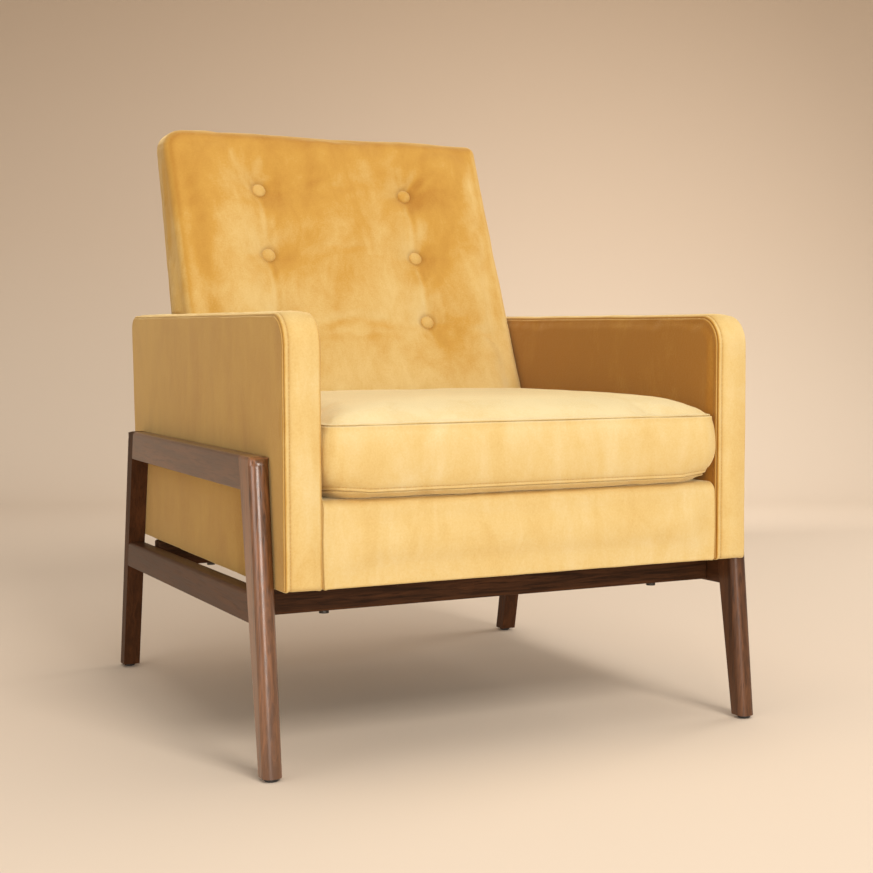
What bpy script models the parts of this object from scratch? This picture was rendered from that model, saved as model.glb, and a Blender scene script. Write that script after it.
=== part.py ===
"""Upholstered armchair on two open hardwood side frames, with a loose seat cushion.

X runs across the chair, Y from front to back and Z up. The origin is on the
floor, under the middle of the whole chair. Side outlines are written as
(depth, height) pairs, with depth counted back from the body's front face.
"""
import math

import bmesh
import bpy
from mathutils import Matrix, Vector

# Clearances and wall thicknesses, in metres
GAP = 0.0003                # between touching pieces
CLOTH = 0.0015              # upholstery cover
OVERSHOOT = 0.02            # how far a cutter runs past what it cuts

# Side frames
FRAME_WIDTH = 0.72          # across the outer faces of the two side frames
WOOD_THICKNESS = 0.0257     # of legs and side rails, across the chair
FRAME_TOP = 0.388
TOP_RAIL_DEPTH = 0.043
LOWER_RAIL_GAP = 0.0041     # between the body's underside and the lower rail, at the front
LOWER_RAIL_DEPTH = 0.039
LOWER_RAIL_FALL = 0.021     # drop per metre towards the rear
FRONT_FOOT = 0.004          # depth of the front foot's front edge
FRONT_FOOT_SIZE = 0.022
FRONT_LEAN = 0.106          # depth gained per metre of height, front edge
FRONT_LEAN_REAR = 0.170     # the same on the front leg's rear edge
REAR_FOOT = 0.7176
REAR_FOOT_SIZE = 0.030
REAR_LEAN = 0.2256          # depth lost per metre of height, front edge
REAR_LEAN_REAR = 0.2093     # the same on the rear leg's rear edge
LEG_TOP_ROUND = 0.012
WOOD_ROUND = 0.004

# Cross rails, glides and bolts
CROSS_DEPTH = 0.087         # front face of the front cross rail
CROSS_THICKNESS = 0.025
CROSS_HEIGHT = 0.039
GLIDE_RADIUS = 0.0085
GLIDE_HEIGHT = 0.004
BOLT_RADIUS = 0.003
BOLT_HEAD_RADIUS = 0.0065
BOLT_HEAD_HEIGHT = 0.004
BOLT_GRIP = 0.022           # length held in the wood above the cross rail

# Body
BODY_BOTTOM = 0.2276        # at the front
BODY_FALL = 0.0088          # drop per metre of the underside towards the rear
DUST_COVER = 0.0008
ARM_THICKNESS = 0.049
ARM_TOP = 0.558             # at the front
ARM_RISE = 0.0133           # rise per metre of the arm's top towards the rear
ARM_REAR = 0.7375           # depth of the arm's rear edge at its top
ARM_REAR_LEAN = 0.062       # depth gained per metre of height
ARM_CORNER = 0.055
ARM_EDGE = 0.004
ARM_FOAM = 0.008
ARM_POST = 0.045
ARM_RAIL = 0.040
ARM_BOTTOM_RAIL = 0.022
DECK_TOP = 0.335
DECK_FOAM = 0.012
DECK_EDGE = 0.008
SEAT_RAIL = 0.024
SPRING_WIRE = 0.0017
SPRING_COUNT = 5
SPRING_WAVES = 7
SPRING_SWING = 0.021
SPRING_DROP = 0.012

# Back
BACK_DEPTH = 0.4832         # depth of the front face at the deck's height
BACK_RECLINE = 0.435        # depth gained per metre of height, front face
BACK_REAR_DEPTH = 0.6384    # depth of the rear face at the deck's height
BACK_REAR_LEAN = 0.274      # depth gained per metre of height, rear face
BACK_TOP = 0.875
BACK_TOP_ROUND = 0.020
BACK_EDGE = 0.012
BACK_SQUEEZE = 0.0015       # clearance between the back and each arm
BACK_POST_WIDTH = 0.045
BACK_POST_THICKNESS = 0.024
BACK_RAIL_HEIGHT = 0.050
WEBBING_WIDTH = 0.050
WEBBING_THICKNESS = 0.0015
WEBBING_COUNT = 3

# Buttons: two columns of three
BUTTON_RADIUS = 0.0115
BUTTON_HEIGHT = 0.006
BUTTON_COLUMN = 0.1305      # from the middle to each column
BUTTON_DROP = 0.097         # from the back's top down to the upper row
BUTTON_PITCH = 0.107        # between rows, measured in height
BUTTON_ROWS = 3
WELL_RADIUS = 0.019
WELL_DEPTH = 0.016

# Loose seat cushion
CUSHION_HEIGHT = 0.110
CUSHION_FRONT = 0.004
CUSHION_SIDE_GAP = 0.0025
CUSHION_BACK_GAP = 0.003
CUSHION_EDGE = 0.012
CUSHION_SIDE_EDGE = 0.008
CUSHION_CLOTH = 0.002
ZIP_OPENING = 0.42
ZIP_HEIGHT = 0.004

FRAME_INNER = FRAME_WIDTH / 2 - WOOD_THICKNESS
BODY_HALF = FRAME_INNER - GAP
ARM_INNER = BODY_HALF - ARM_THICKNESS
DECK_HALF = ARM_INNER - GAP
BACK_HALF = ARM_INNER - BACK_SQUEEZE
SKIN = CLOTH + GAP
DECK_LINING = SKIN + DECK_FOAM + GAP
SIDE_RAIL_OUT = DECK_HALF - DECK_LINING
SIDE_RAIL_WIDTH = 2 * SEAT_RAIL
BACK_POST_OUT = BACK_HALF - SKIN - BACK_EDGE
REAR_SLOPE = math.hypot(1, BACK_REAR_LEAN)      # turns a thickness into a depth, rear face
FRONT_SLOPE = math.hypot(1, BACK_RECLINE)       # the same, front face

WALNUT = ("walnut", (0.105, 0.048, 0.028, 1.0), 0.38, 0.0)
VELVET = ("gold_velvet", (0.60, 0.33, 0.075, 1.0), 0.75, 0.0)
BEECH = ("beech", (0.62, 0.44, 0.27, 1.0), 0.6, 0.0)
FOAM = ("foam", (0.86, 0.80, 0.62, 1.0), 0.95, 0.0)
STEEL = ("zinc_steel", (0.62, 0.62, 0.64, 1.0), 0.35, 1.0)
PLASTIC = ("dark_plastic", (0.03, 0.028, 0.026, 1.0), 0.5, 0.0)
LINEN = ("black_cambric", (0.035, 0.035, 0.037, 1.0), 0.95, 0.0)
JUTE = ("jute_webbing", (0.42, 0.31, 0.17, 1.0), 0.95, 0.0)


def fillet(corners, steps=4):
    """Round each (depth, height, radius) corner and return plain points."""
    points = []
    for index, (depth, height, radius) in enumerate(corners):
        corner = Vector((depth, height))
        if radius <= 0:
            points.append(corner)
            continue
        following = corners[(index + 1) % len(corners)]
        back = (Vector(corners[index - 1][:2]) - corner).normalized()
        ahead = (Vector(following[:2]) - corner).normalized()
        half = back.angle(ahead) / 2
        centre = corner + (back + ahead).normalized() * radius / math.sin(half)
        start = corner + back * radius / math.tan(half) - centre
        end = corner + ahead * radius / math.tan(half) - centre
        turn = math.pi - 2 * half
        for step in range(steps + 1):
            share = step / steps
            points.append(centre + (start * math.sin((1 - share) * turn)
                                    + end * math.sin(share * turn)) / math.sin(turn))
    return points


def shrink(corners, distance):
    """Move every edge of a clockwise outline inwards by one distance."""
    places = [Vector(corner[:2]) for corner in corners]
    moved = []
    for index, place in enumerate(places):
        arriving = (place - places[index - 1]).normalized()
        leaving = (places[(index + 1) % len(places)] - place).normalized()
        inwards = Vector((arriving.y + leaving.y, -arriving.x - leaving.x)).normalized()
        shift = inwards * distance / inwards.dot(Vector((arriving.y, -arriving.x)))
        moved.append((*(place + shift), max(corners[index][2] - distance, 0)))
    return moved


def opened(corners):
    """Carry an outline's first and last edges on past its open underside."""
    ends = []
    for end, neighbour in ((corners[0], corners[1]), (corners[-1], corners[-2])):
        place = Vector(end[:2])
        ends.append((*(place + (place - Vector(neighbour[:2])).normalized() * OVERSHOOT), 0))
    return [ends[0]] + corners[1:-1] + [ends[1]]


def body_underside(depth):
    return BODY_BOTTOM - BODY_FALL * depth


def arm_top(depth):
    return ARM_TOP + ARM_RISE * depth


def arm_rear(height):
    return ARM_REAR - ARM_REAR_LEAN * (arm_top(ARM_REAR) - height)


def back_front(height):
    return BACK_DEPTH + BACK_RECLINE * (height - DECK_TOP)


def back_rear(height):
    return BACK_REAR_DEPTH + BACK_REAR_LEAN * (height - DECK_TOP)


def back_post_rear(height):
    return back_rear(height) - SKIN * REAR_SLOPE


def back_post_front(height):
    return back_post_rear(height) - BACK_POST_THICKNESS * REAR_SLOPE


BACK_LOW = body_underside(BACK_DEPTH) + CLOTH
BACK_OUTLINE = [
    (back_front(BACK_LOW), BACK_LOW, 0),
    (back_front(BACK_TOP), BACK_TOP, BACK_TOP_ROUND),
    (back_rear(BACK_TOP), BACK_TOP, BACK_TOP_ROUND),
    (back_rear(BACK_LOW), BACK_LOW, 0),
]
DEPTH = max(point.x for point in fillet(BACK_OUTLINE))


def along(depth):
    """Y of a depth counted back from the body's front face."""
    return depth - DEPTH / 2


def material(finish):
    name, colour, roughness, metallic = finish
    found = bpy.data.materials.get(name)
    if found:
        return found
    made = bpy.data.materials.new(name)
    made.use_nodes = True
    made.diffuse_color = colour
    shader = made.node_tree.nodes["Principled BSDF"]
    shader.inputs["Base Color"].default_value = colour
    shader.inputs["Roughness"].default_value = roughness
    shader.inputs["Metallic"].default_value = metallic
    return made


def keep(name, mesh, finish, smooth=False):
    """Turn a bmesh into a named object; a cutter has no finish."""
    data = bpy.data.meshes.new(name)
    mesh.to_mesh(data)
    mesh.free()
    part = bpy.data.objects.new(name, data)
    bpy.context.scene.collection.objects.link(part)
    if finish:
        data.materials.append(material(finish))
    else:
        part.hide_render = True
        part.display_type = "WIRE"
    if smooth:
        data.shade_smooth()
        data.set_sharp_from_angle(angle=math.radians(35))
    return part


def prism(name, corners, low_x, high_x, finish, rounding=0.0, segments=1):
    """A side outline carried across the chair from low_x to high_x."""
    mesh = bmesh.new()
    side = mesh.faces.new([mesh.verts.new((low_x, along(point.x), point.y))
                           for point in fillet(corners)])
    carried = bmesh.ops.extrude_face_region(mesh, geom=[side])
    moved = [item for item in carried["geom"] if isinstance(item, bmesh.types.BMVert)]
    bmesh.ops.translate(mesh, verts=moved, vec=(high_x - low_x, 0, 0))
    bmesh.ops.recalc_face_normals(mesh, faces=mesh.faces)
    part = keep(name, mesh, finish)
    if rounding:
        bevel = part.modifiers.new("edge", "BEVEL")
        bevel.width = rounding
        bevel.segments = segments
        bevel.limit_method = "ANGLE"
        bevel.angle_limit = math.radians(50)
    return part


def box(name, low, high, finish, rounding=0.0):
    """A board between two corners, each (x, depth, height)."""
    corners = [(low[1], low[2], 0), (low[1], high[2], 0), (high[1], high[2], 0), (high[1], low[2], 0)]
    return prism(name, corners, low[0], high[0], finish, rounding)


def lathe(name, profile, finish, steps=16):
    """Turn (radius, height) points, axis to axis, about the piece's own Z."""
    mesh = bmesh.new()
    verts = [mesh.verts.new((radius, 0, height)) for radius, height in profile]
    edges = [mesh.edges.new(pair) for pair in zip(verts, verts[1:])]
    bmesh.ops.spin(mesh, geom=verts + edges, cent=(0, 0, 0), axis=(0, 0, 1),
                   angle=math.tau, steps=steps, use_merge=True)
    bmesh.ops.remove_doubles(mesh, verts=mesh.verts, dist=1e-6)
    bmesh.ops.recalc_face_normals(mesh, faces=mesh.faces)
    return keep(name, mesh, finish, smooth=True)


def cut(part, cutter):
    boolean = part.modifiers.new(cutter.name, "BOOLEAN")
    boolean.operation = "DIFFERENCE"
    boolean.solver = "EXACT"
    boolean.object = cutter
    return part


def cover(name, corners, low_x, high_x, wall, finish, rounding):
    """A skin of even thickness, open along the outline's underside."""
    skin = prism(name, corners, low_x, high_x, finish, rounding, 2)
    inside = opened(shrink(corners, wall))
    hollow = prism(name + "_inside", inside, low_x + wall, high_x - wall, None,
                   max(rounding - wall, 0), 2)
    return cut(skin, hollow)


def make_side_frame(side_name, side):
    """One open trapezoid: two legs, a top rail and a lower rail."""
    across = sorted((side * FRAME_INNER, side * FRAME_WIDTH / 2))
    foot = GLIDE_HEIGHT + GAP

    def front_edge(height):
        return FRONT_FOOT + FRONT_LEAN * height

    def front_leg_rear(height):
        return FRONT_FOOT + FRONT_FOOT_SIZE + FRONT_LEAN_REAR * height

    def rear_leg_front(height):
        return REAR_FOOT - REAR_LEAN * height

    def rear_edge(height):
        return REAR_FOOT + REAR_FOOT_SIZE - REAR_LEAN_REAR * height

    def rail(part, top, fall, depth):
        starts = front_leg_rear(top)
        corners = []
        for drop in (depth, 0):
            height = top - drop
            corners.append((front_leg_rear(height) + GAP, height, 0))
        for drop in (0, depth):
            height = top - drop
            lowered = height - fall * (rear_leg_front(height) - starts)
            corners.append((rear_leg_front(lowered) - GAP, lowered, 0))
        prism(f"{side_name}_{part}", corners, *across, WALNUT, WOOD_ROUND)

    front_leg = [
        (front_edge(foot), foot, 0),
        (front_edge(FRAME_TOP), FRAME_TOP, LEG_TOP_ROUND),
        (front_leg_rear(FRAME_TOP), FRAME_TOP, 0),
        (front_leg_rear(foot), foot, 0),
    ]
    rear_leg = [
        (rear_leg_front(foot), foot, 0),
        (rear_leg_front(FRAME_TOP), FRAME_TOP, 0),
        (rear_edge(FRAME_TOP), FRAME_TOP, LEG_TOP_ROUND),
        (rear_edge(foot), foot, 0),
    ]
    prism(f"{side_name}_front_leg", front_leg, *across, WALNUT, WOOD_ROUND, 2)
    prism(f"{side_name}_rear_leg", rear_leg, *across, WALNUT, WOOD_ROUND, 2)
    rail("top_rail", FRAME_TOP, 0, TOP_RAIL_DEPTH)
    rail("lower_rail", BODY_BOTTOM - LOWER_RAIL_GAP, LOWER_RAIL_FALL, LOWER_RAIL_DEPTH)

    feet = {"front": (front_edge(foot) + front_leg_rear(foot)) / 2,
            "rear": (rear_leg_front(foot) + rear_edge(foot)) / 2}
    for end, depth in feet.items():
        glide = lathe(f"{side_name}_{end}_glide",
                      [(0, 0), (GLIDE_RADIUS - 0.001, 0), (GLIDE_RADIUS, 0.001),
                       (GLIDE_RADIUS, GLIDE_HEIGHT), (0, GLIDE_HEIGHT)], PLASTIC)
        glide.location = (sum(across) / 2, along(depth), 0)


def make_cross_rails():
    """Two rails between the side frames, which carry the body on four bolts."""
    half = FRAME_INNER - GAP
    gripped = BACK_LOW + BOLT_GRIP / 2
    rear_middle = (back_post_front(gripped) + back_post_rear(gripped)) / 2
    ends = {"front": (CROSS_DEPTH + CROSS_THICKNESS / 2, SIDE_RAIL_OUT - SIDE_RAIL_WIDTH / 2),
            "rear": (rear_middle, BACK_POST_OUT - BACK_POST_WIDTH / 2)}
    for end, (middle, bolt_x) in ends.items():
        near, far = middle - CROSS_THICKNESS / 2, middle + CROSS_THICKNESS / 2
        top = body_underside(far) - DUST_COVER - 2 * GAP
        cross = box(f"{end}_cross_rail", (-half, near, top - CROSS_HEIGHT), (half, far, top),
                    WALNUT, 0.002)
        for side_name, side in (("left", -1), ("right", 1)):
            place = (side * bolt_x, along(middle), top - CROSS_HEIGHT - GAP)
            reach = CROSS_HEIGHT + BOLT_GRIP
            bolt = lathe(f"{side_name}_{end}_body_bolt",
                         [(0, -BOLT_HEAD_HEIGHT), (BOLT_HEAD_RADIUS, -BOLT_HEAD_HEIGHT),
                          (BOLT_HEAD_RADIUS, 0), (BOLT_RADIUS, 0), (BOLT_RADIUS, reach), (0, reach)],
                         STEEL, 12)
            bolt.location = place
            hole = lathe(f"{side_name}_{end}_bolt_hole",
                         [(0, -GAP * 2), (BOLT_RADIUS + GAP, -GAP * 2),
                          (BOLT_RADIUS + GAP, reach + GAP), (0, reach + GAP)], None, 12)
            hole.location = place
            drilled = [cross, bpy.data.objects["dust_cover"]]
            if end == "front":
                drilled.append(bpy.data.objects[f"seat_{side_name}_rail"])
            else:
                drilled.append(bpy.data.objects[f"back_{side_name}_post"])
            for part in drilled:
                cut(part, hole)


def make_arm(side_name, side):
    """A box arm: velvet cover and foam over two posts and a top rail."""
    across = sorted((side * ARM_INNER, side * BODY_HALF))
    rear_low = arm_rear(body_underside(ARM_REAR))
    outline = [
        (0, body_underside(0), 0),
        (0, ARM_TOP, ARM_CORNER),
        (ARM_REAR, arm_top(ARM_REAR), 0.012),
        (rear_low, body_underside(rear_low), 0),
    ]
    cover(f"{side_name}_arm_cover", outline, *across, CLOTH, VELVET, ARM_EDGE)

    cover(f"{side_name}_arm_foam", shrink(outline, SKIN), across[0] + SKIN, across[1] - SKIN,
          ARM_FOAM, FOAM, ARM_EDGE - CLOTH)

    inner = SKIN + ARM_FOAM + GAP
    low_x, high_x = across[0] + inner, across[1] - inner
    underside = body_underside(0) + CLOTH
    rail_top = ARM_TOP - inner
    rail_low = min(rail_top - ARM_RAIL, ARM_TOP - ARM_CORNER)   # below the rounded front corner
    top_rail = [
        (inner, rail_low, 0),
        (inner, rail_top, ARM_CORNER - inner),
        (arm_rear(rail_top) - inner, rail_top, 0),
        (arm_rear(rail_low) - inner, rail_low, 0),
    ]
    prism(f"{side_name}_arm_top_rail", top_rail, low_x, high_x, BEECH, 0)
    post_top = rail_low - GAP
    bottom_rail = [(depth, height, 0) for depth, height in (
        (inner, underside), (inner, underside + ARM_BOTTOM_RAIL),
        (arm_rear(underside + ARM_BOTTOM_RAIL) - inner, underside + ARM_BOTTOM_RAIL),
        (arm_rear(underside) - inner, underside))]
    prism(f"{side_name}_arm_bottom_rail", bottom_rail, low_x, high_x, BEECH)
    underside += ARM_BOTTOM_RAIL + GAP
    box(f"{side_name}_arm_front_post", (low_x, inner, underside),
        (high_x, inner + ARM_POST, post_top), BEECH)
    rear_post = [(arm_rear(height) - inner - shift, height, 0) for height, shift in
                 ((underside, ARM_POST), (post_top, ARM_POST), (post_top, 0), (underside, 0))]
    prism(f"{side_name}_arm_rear_post", rear_post, low_x, high_x, BEECH, 0)


def make_deck():
    """The sprung seat under the cushion, with the border below its front."""
    low = body_underside(0)
    outline = [
        (0, low, 0),
        (0, DECK_TOP, DECK_EDGE),
        (back_front(DECK_TOP) - GAP, DECK_TOP, 0),
        (back_front(low) - GAP, low, 0),
    ]
    cover("deck_cover", outline, -DECK_HALF, DECK_HALF, CLOTH, VELVET, 0.003)
    cover("deck_foam", shrink(outline, SKIN), -DECK_HALF + SKIN, DECK_HALF - SKIN,
          DECK_FOAM, FOAM, 0.002)

    half = SIDE_RAIL_OUT
    top = DECK_TOP - DECK_LINING
    bottom = low + 2 * GAP
    slope_end = back_front(bottom) - GAP - DECK_LINING * FRONT_SLOPE
    box("seat_front_rail", (-half, DECK_LINING, bottom), (half, DECK_LINING + SEAT_RAIL, top), BEECH)
    box("seat_rear_rail", (-half, slope_end - SEAT_RAIL, bottom), (half, slope_end, top), BEECH)
    rail_from = DECK_LINING + SEAT_RAIL + GAP
    rail_to = slope_end - SEAT_RAIL - GAP
    for side_name, side in (("left", -1), ("right", 1)):
        ends = sorted((side * half, side * (half - SIDE_RAIL_WIDTH)))
        box(f"seat_{side_name}_rail", (ends[0], rail_from, bottom),
            (ends[1], rail_to, top - SPRING_DROP), BEECH)
    make_springs(rail_from, rail_to, half - SIDE_RAIL_WIDTH, top)


def make_springs(depth_from, depth_to, half, top):
    """Sinuous springs strung from the front seat rail to the rear one."""
    bend_points = 4
    total = SPRING_WAVES * 2 * bend_points
    for number in range(SPRING_COUNT):
        pitch = 2 * half / SPRING_COUNT
        centre = -half + pitch * (number + 0.5)
        curve = bpy.data.curves.new(f"seat_spring_{number + 1}", "CURVE")
        curve.dimensions = "3D"
        curve.bevel_depth = SPRING_WIRE
        curve.bevel_resolution = 0
        curve.use_fill_caps = True
        spline = curve.splines.new("POLY")
        spline.points.add(total)
        for index, point in enumerate(spline.points):
            share = index / total
            depth = depth_from + SPRING_WIRE + (depth_to - depth_from - 2 * SPRING_WIRE) * share
            swing = SPRING_SWING * math.sin(share * math.tau * SPRING_WAVES)
            height = top - SPRING_DROP - SPRING_WIRE + SPRING_DROP * 0.7 * math.sin(share * math.pi)
            point.co = (centre + swing, along(depth), height, 1)
        spring = bpy.data.objects.new(curve.name, curve)
        bpy.context.scene.collection.objects.link(spring)
        curve.materials.append(material(STEEL))


def make_back():
    """A reclined back: cover with button wells, foam, webbing and frame."""
    wells = {clearance: make_wells(clearance) for clearance in (0, CLOTH, SKIN)}
    half = BACK_HALF

    skin = prism("back_cover", BACK_OUTLINE, -half, half, VELVET, BACK_EDGE, 3)
    hollow = prism("back_inside", opened(shrink(BACK_OUTLINE, CLOTH)), -half + CLOTH, half - CLOTH,
                   None, BACK_EDGE - CLOTH, 3)
    for well in wells[0]:
        cut(skin, well)
    for well in wells[CLOTH]:
        cut(hollow, well)
    cut(skin, hollow)

    def strap_rear(height):
        return back_post_front(height) - GAP * REAR_SLOPE

    def strap_front(height):
        return strap_rear(height) - WEBBING_THICKNESS * REAR_SLOPE

    def foam_rear(height):
        return strap_front(height) - GAP * REAR_SLOPE

    def foam_front(height):
        return back_front(height) + SKIN * FRONT_SLOPE

    def slab(low, high, near, far):
        corners = ((near, low), (near, high), (far, high), (far, low))
        return [(line(height), height, 0) for line, height in corners]

    foam_top = BACK_TOP - SKIN - BACK_TOP_ROUND / 2
    foam = prism("back_foam", slab(BACK_LOW + SKIN, foam_top, foam_front, foam_rear),
                 -half + SKIN + GAP, half - SKIN - GAP, FOAM, BACK_EDGE - SKIN)
    for well in wells[SKIN]:
        cut(foam, well)

    post_top = fillet(BACK_OUTLINE)[-2].y - SKIN   # just below the rounded top rear edge
    post_in = BACK_POST_OUT - BACK_POST_WIDTH
    for side_name, side in (("left", -1), ("right", 1)):
        ends = sorted((side * post_in, side * BACK_POST_OUT))
        prism(f"back_{side_name}_post", slab(BACK_LOW + SKIN, post_top, back_post_front, back_post_rear),
              *ends, BEECH)
    rail = post_in - GAP
    rails = {"back_top_rail": post_top, "back_lower_rail": DECK_TOP + BACK_RAIL_HEIGHT}
    for name, top in rails.items():
        prism(name, slab(top - BACK_RAIL_HEIGHT, top, back_post_front, back_post_rear),
              -rail, rail, BEECH)
    reach = WEBBING_WIDTH / 2
    strap_pitch = (post_top - DECK_TOP) / WEBBING_COUNT
    for number in range(WEBBING_COUNT):
        height = DECK_TOP + strap_pitch * (number + 0.5)
        prism(f"back_webbing_{number + 1}",
              slab(height - reach, height + reach, strap_front, strap_rear),
              -BACK_POST_OUT, BACK_POST_OUT, JUTE)


def button_places():
    """Centres of the button wells on the back's front face, and their tilt."""
    tilt = Matrix.Rotation(math.pi / 2 - math.atan(BACK_RECLINE), 4, "X")
    places = []
    for row in range(BUTTON_ROWS):
        height = BACK_TOP - BUTTON_DROP - BUTTON_PITCH * row
        for side_name, side in (("left", -1), ("right", 1)):
            spot = Matrix.Translation((side * BUTTON_COLUMN, along(back_front(height)), height))
            places.append((f"{side_name}_button_{row + 1}", spot @ tilt))
    return places


def make_wells(clearance):
    """Cutters that sink a well for each button, grown by one clearance."""
    cutters = []
    radius = WELL_RADIUS + clearance
    floor = -WELL_DEPTH - clearance
    for name, place in button_places():
        well = lathe(f"{name}_well_{round(clearance * 10000)}",
                     [(0, floor), (radius * 0.8, floor), (radius, OVERSHOOT), (0, OVERSHOOT)], None, 12)
        well.matrix_world = place
        cutters.append(well)
    return cutters


def make_buttons():
    """Cloth-covered domes seated on the floors of their wells."""
    rows = 4
    for name, place in button_places():
        dome = [(0, 0), (BUTTON_RADIUS * 0.9, 0)]
        for step in range(rows + 1):
            angle = math.pi / 2 * step / rows
            dome.append((BUTTON_RADIUS * math.cos(angle),
                         BUTTON_HEIGHT * (0.3 + 0.7 * math.sin(angle))))
        button = lathe(name, dome[:-1] + [(0, BUTTON_HEIGHT)], VELVET, 12)
        button.matrix_world = place @ Matrix.Translation((0, 0, -WELL_DEPTH + GAP))


def make_cushion():
    """A loose box cushion that lifts out: zipped cover and foam core."""
    half = ARM_INNER - CUSHION_SIDE_GAP
    low = DECK_TOP + GAP
    high = low + CUSHION_HEIGHT

    def rear(height):
        return back_front(height) - CUSHION_BACK_GAP * FRONT_SLOPE

    outline = [
        (CUSHION_FRONT, low, CUSHION_EDGE),
        (CUSHION_FRONT, high, CUSHION_EDGE),
        (rear(high), high, CUSHION_EDGE),
        (rear(low), low, CUSHION_EDGE),
    ]
    skin = prism("cushion_cover", outline, -half, half, VELVET, CUSHION_SIDE_EDGE, 2)
    inside = prism("cushion_inside", shrink(outline, CUSHION_CLOTH), -half + CUSHION_CLOTH,
                   half - CUSHION_CLOTH, None, CUSHION_SIDE_EDGE - CUSHION_CLOTH, 2)
    middle = (low + high) / 2
    slit = box("zip_slit", (-ZIP_OPENING / 2, rear(middle) - OVERSHOOT, middle - ZIP_HEIGHT / 2),
               (ZIP_OPENING / 2, rear(middle) + OVERSHOOT, middle + ZIP_HEIGHT / 2), None)
    cut(skin, inside)
    cut(skin, slit)
    core = CUSHION_CLOTH + GAP
    prism("cushion_core", shrink(outline, core), -half + core, half - core, FOAM,
          CUSHION_SIDE_EDGE - core, 2)


def make_dust_cover():
    """Cambric stretched under the seat and back frames."""
    near, far = SEAT_RAIL, back_rear(BACK_LOW)
    half = DECK_HALF - SEAT_RAIL / 2
    sheet = [(depth, body_underside(depth) - GAP - drop, 0)
             for depth, drop in ((near, DUST_COVER), (near, 0), (far, 0), (far, DUST_COVER))]
    prism("dust_cover", sheet, -half, half, LINEN)


def main():
    for old in list(bpy.data.objects):
        bpy.data.objects.remove(old, do_unlink=True)
    for side_name, side in (("left", -1), ("right", 1)):
        make_side_frame(side_name, side)
        make_arm(side_name, side)
    make_deck()
    make_back()
    make_buttons()
    make_cushion()
    make_dust_cover()
    make_cross_rails()


main()
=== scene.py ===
import bpy
import bmesh
import math
import numpy as np
from mathutils import Matrix, Vector, noise
from mathutils.bvhtree import BVHTree
from mathutils.geometry import barycentric_transform
from mathutils.kdtree import KDTree


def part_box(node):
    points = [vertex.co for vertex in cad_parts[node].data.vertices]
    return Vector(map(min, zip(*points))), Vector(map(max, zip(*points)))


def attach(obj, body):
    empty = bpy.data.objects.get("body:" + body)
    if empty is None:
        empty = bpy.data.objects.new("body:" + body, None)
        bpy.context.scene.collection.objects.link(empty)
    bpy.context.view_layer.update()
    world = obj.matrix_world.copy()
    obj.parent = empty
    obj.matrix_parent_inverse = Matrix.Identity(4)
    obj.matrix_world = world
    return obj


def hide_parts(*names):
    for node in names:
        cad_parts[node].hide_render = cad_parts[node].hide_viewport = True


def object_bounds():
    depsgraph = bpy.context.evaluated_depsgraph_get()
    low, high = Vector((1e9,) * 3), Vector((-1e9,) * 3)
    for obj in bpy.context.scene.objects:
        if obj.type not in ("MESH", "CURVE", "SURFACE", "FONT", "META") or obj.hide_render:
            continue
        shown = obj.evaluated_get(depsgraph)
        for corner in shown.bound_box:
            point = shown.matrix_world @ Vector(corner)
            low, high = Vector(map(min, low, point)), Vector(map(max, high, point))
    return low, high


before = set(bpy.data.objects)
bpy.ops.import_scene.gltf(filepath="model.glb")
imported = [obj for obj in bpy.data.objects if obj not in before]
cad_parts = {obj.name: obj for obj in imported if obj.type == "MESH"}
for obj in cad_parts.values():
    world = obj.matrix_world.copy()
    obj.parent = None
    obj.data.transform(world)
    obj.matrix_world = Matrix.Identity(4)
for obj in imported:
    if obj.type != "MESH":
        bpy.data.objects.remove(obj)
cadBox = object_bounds()
frontY = cadBox[0].y        # depths below are counted back from the body's front face
chair, seatCushion = "chair", "seat_cushion"
sides = {"left": -1, "right": 1}

cameraLook = {
    "place": (-0.9065, frontY - 1.6416, 0.5201),
    "turn": -0.4397,
    "tip": 0.0613,          # below level
    "roll": -0.0032,
    "lens": 60.71,
}


def setCamera(look):
    data = bpy.data.cameras.new("camera")
    data.lens = look["lens"]
    data.sensor_width = 36
    camera = bpy.data.objects.new("camera", data)
    bpy.context.scene.collection.objects.link(camera)
    camera.matrix_world = (Matrix.Translation(look["place"]) @ Matrix.Rotation(look["turn"], 4, "Z")
                           @ Matrix.Rotation(math.pi / 2 - look["tip"], 4, "X")
                           @ Matrix.Rotation(look["roll"], 4, "Z"))
    bpy.context.scene.camera = camera


setCamera(cameraLook)
bpy.context.scene.view_settings.view_transform = "Standard"
print("camera set")


def plug(tree, node, entries):
    for key, value in entries:
        if isinstance(value, Wire):
            tree.links.new(value.socket, node.inputs[key])
        else:
            node.inputs[key].default_value = value


class Wire:                 # one socket, so that a mask can be written as a sum
    def __init__(self, tree, socket):
        self.tree = tree
        self.socket = socket

    def math(self, kind, first, second):
        node = self.tree.nodes.new("ShaderNodeMath")
        node.operation = kind
        plug(self.tree, node, enumerate((first, second)))
        return Wire(self.tree, node.outputs[0])

    def __add__(self, other):
        return self.math("ADD", self, other)

    def __radd__(self, other):
        return self.math("ADD", other, self)

    def __sub__(self, other):
        return self.math("SUBTRACT", self, other)

    def __rsub__(self, other):
        return self.math("SUBTRACT", other, self)

    def __mul__(self, other):
        return self.math("MULTIPLY", self, other)

    def __rmul__(self, other):
        return self.math("MULTIPLY", other, self)


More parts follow.
